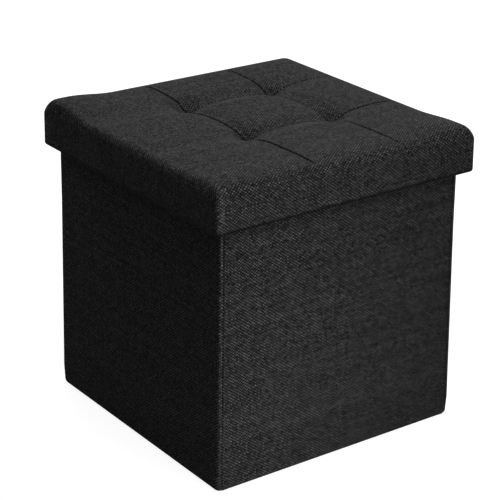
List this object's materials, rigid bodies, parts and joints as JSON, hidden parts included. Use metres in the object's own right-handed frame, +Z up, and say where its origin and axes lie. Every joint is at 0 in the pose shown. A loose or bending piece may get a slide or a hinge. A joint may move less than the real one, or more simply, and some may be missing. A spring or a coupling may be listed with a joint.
{
  "type": "storage ottoman",
  "caption": "Cloth-covered folding storage cube with stiff walls, a loose base board and a padded, tufted lid that lifts off; the side walls fold in.",
  "frame": {"origin": "on the floor, under the middle of the box", "axes": "+Z up; -Y is the front, the wall that moves when the box folds; +X is the right side, so the two side walls that fold in are at -X and +X"},
  "size_m": [0.38, 0.38, 0.385],
  "materials": {
    "outer_cloth": "charcoal-black linen-look polyester, coarse plain weave with slubs, matt",
    "lining_cloth": "thin black non-woven cloth with an embossed dot pattern, matt",
    "fibreboard": "bare pressed fibreboard",
    "foam": "open-cell foam",
    "ribbon": "woven black ribbon",
    "thread": "waxed black thread",
    "staple_wire": "bright wire"
  },
  "bodies": {
    "back": {"back_board": "fibreboard", "back_cover": "outer_cloth", "back_lining": "lining_cloth", "back_binding": "outer_cloth", "back_corner_seams": "outer_cloth", "bottom_cloth": "outer_cloth"},
    "front": {"front_board": "fibreboard", "front_cover": "outer_cloth", "front_lining": "lining_cloth", "front_binding": "outer_cloth", "front_corner_seams": "outer_cloth"},
    "right_rear": {"right_rear_board": "fibreboard", "right_rear_cover": "outer_cloth", "right_rear_lining": "lining_cloth", "right_rear_binding": "outer_cloth"},
    "right_front": {"right_front_board": "fibreboard", "right_front_cover": "outer_cloth", "right_front_lining": "lining_cloth", "right_front_binding": "outer_cloth"},
    "left_rear": {"left_rear_board": "fibreboard", "left_rear_cover": "outer_cloth", "left_rear_lining": "lining_cloth", "left_rear_binding": "outer_cloth"},
    "left_front": {"left_front_board": "fibreboard", "left_front_cover": "outer_cloth", "left_front_lining": "lining_cloth", "left_front_binding": "outer_cloth"},
    "base": {"base_board": "fibreboard", "base_cover": "lining_cloth", "base_backing": "lining_cloth", "pull_tab": "ribbon"},
    "lid": {"lid_board": "fibreboard", "lid_rim_front": "fibreboard", "lid_rim_back": "fibreboard", "lid_rim_left": "fibreboard", "lid_rim_right": "fibreboard", "lid_foam": "foam", "lid_cover": "outer_cloth", "lid_lining": "lining_cloth", "tuft_threads": "thread", "tuft_staples": "staple_wire", "cover_staples": "staple_wire"}
  },
  "joints": [
    {"name": "side_fold", "type": "hinge", "parent": "back", "child": "right_rear", "pos_m": [0.1702, 0.1699, 0.18], "axis": [0, 0, 1], "range_deg": [-90, 0]},
    {"name": "right_middle_fold", "type": "hinge", "parent": "right_rear", "child": "right_front", "pos_m": [0.17565, 0, 0.18], "axis": [0, 0, 1], "range_deg": [0, 180]},
    {"name": "front_fold", "type": "hinge", "parent": "right_front", "child": "front", "pos_m": [0.1702, -0.1699, 0.18], "axis": [0, 0, 1], "range_deg": [-90, 0]},
    {"name": "left_rear_fold", "type": "hinge", "parent": "back", "child": "left_rear", "pos_m": [-0.1702, 0.1699, 0.18], "axis": [0, 0, 1], "range_deg": [0, 90]},
    {"name": "left_middle_fold", "type": "hinge", "parent": "left_rear", "child": "left_front", "pos_m": [-0.17565, 0, 0.18], "axis": [0, 0, 1], "range_deg": [-180, 0]},
    {"name": "base_lift", "type": "slide", "parent": "back", "child": "base", "axis": [0, 0, 1], "range_m": [0, 0.38]},
    {"name": "lid_lift", "type": "slide", "parent": "base", "child": "lid", "axis": [0, 0, 1], "range_m": [0, 0.15]}
  ],
  "couplings": [
    {"joint": "right_middle_fold", "follows": "side_fold", "ratio": -2},
    {"joint": "front_fold", "follows": "side_fold", "ratio": 1},
    {"joint": "left_rear_fold", "follows": "side_fold", "ratio": -1},
    {"joint": "left_middle_fold", "follows": "side_fold", "ratio": 2}
  ]
}
